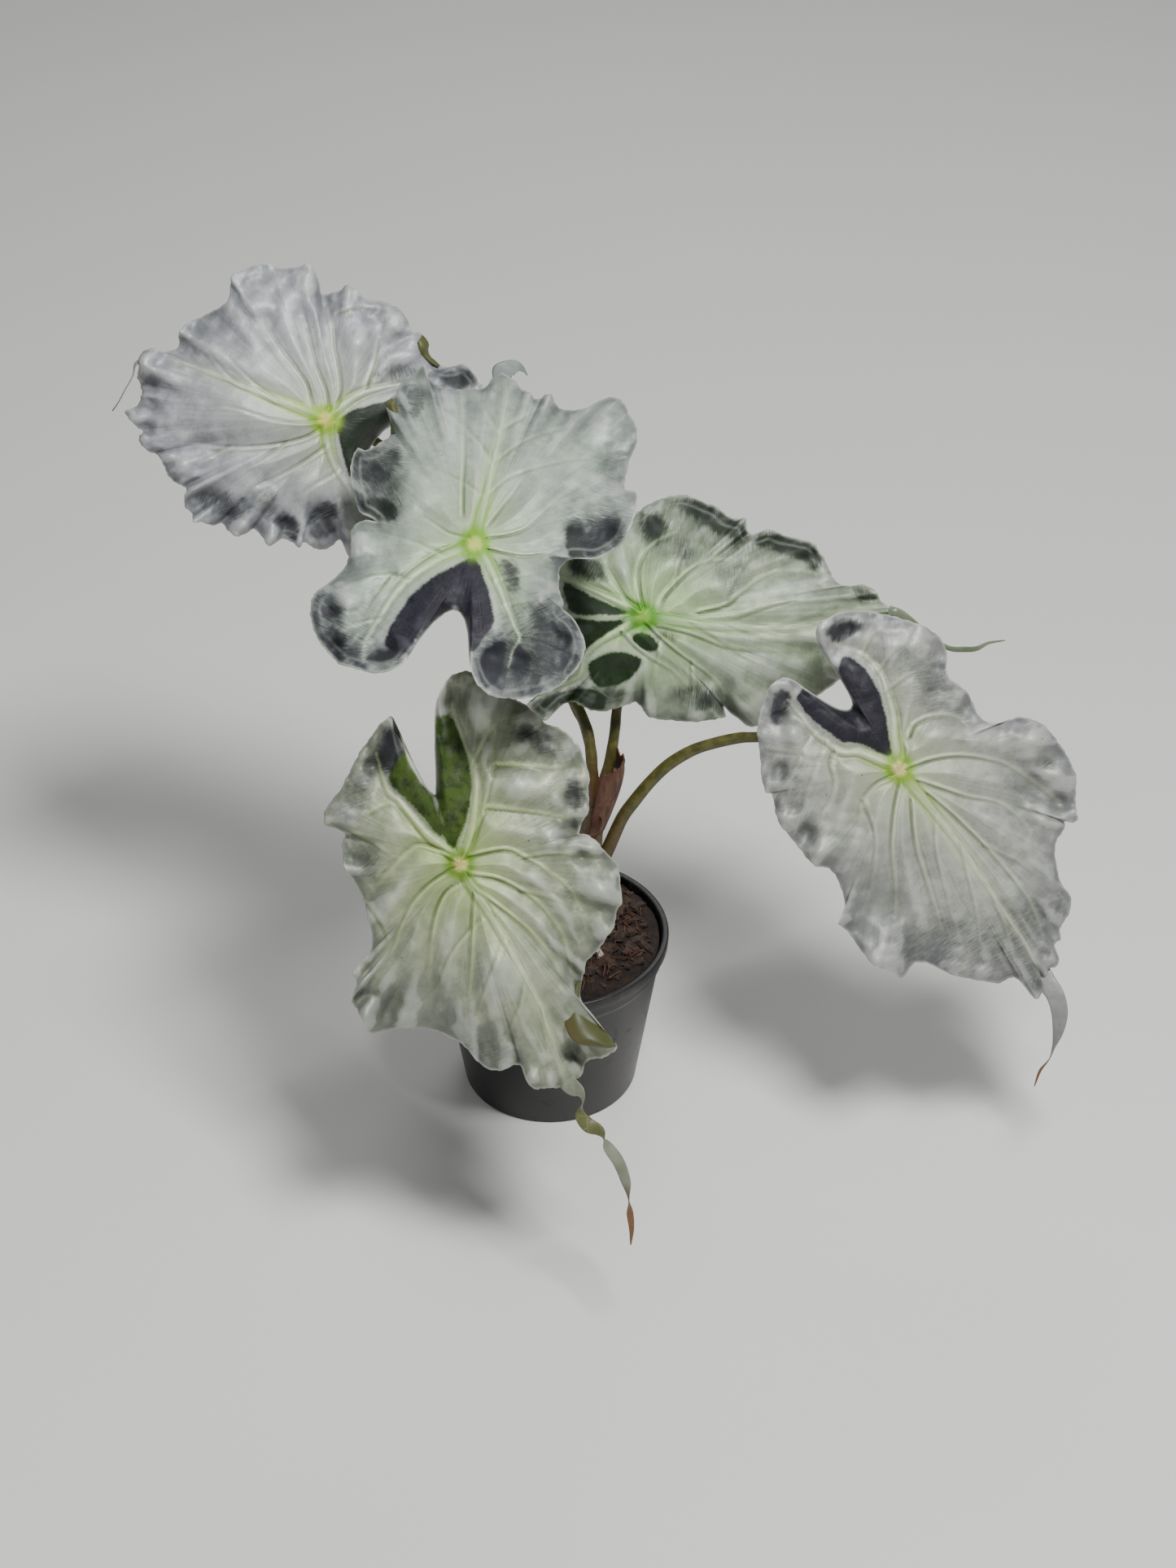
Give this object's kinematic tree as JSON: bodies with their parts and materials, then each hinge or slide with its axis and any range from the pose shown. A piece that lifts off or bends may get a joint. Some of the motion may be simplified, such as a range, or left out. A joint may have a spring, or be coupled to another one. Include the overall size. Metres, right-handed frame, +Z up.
{
  "type": "potted venom alocasia",
  "caption": "Small potted alocasia with silver, lobed and ruffled leaves with long drip tips, on olive stalks rising from a black nursery pot of coir and bark.",
  "frame": {"origin": "centre of the pot's underside, on the surface that it stands on", "axes": "+Z up along the pot's axis, -Y towards the side that the leaves face, +X to the right as seen from there"},
  "size_m": [0.4595, 0.3034, 0.4028],
  "materials": {
    "pot_plastic": "black moulded plastic, slightly worn",
    "substrate": "loose coir fibre and bark chips",
    "crown": "ribbed fleshy stem base",
    "sheath": "dry papery skin",
    "petiole": "smooth, slightly waxy",
    "leaf_blade": "silvery satin with green veins"
  },
  "bodies": {
    "root": {"pot": "pot_plastic", "substrate": "substrate", "crown": "crown", "sheath": "sheath", "petiole_a": "petiole", "petiole_b": "petiole", "petiole_c": "petiole", "petiole_d": "petiole", "petiole_e": "petiole", "blade_a": "leaf_blade", "blade_b": "leaf_blade", "blade_c": "leaf_blade", "blade_d": "leaf_blade", "blade_e": "leaf_blade"}
  },
  "joints": []
}
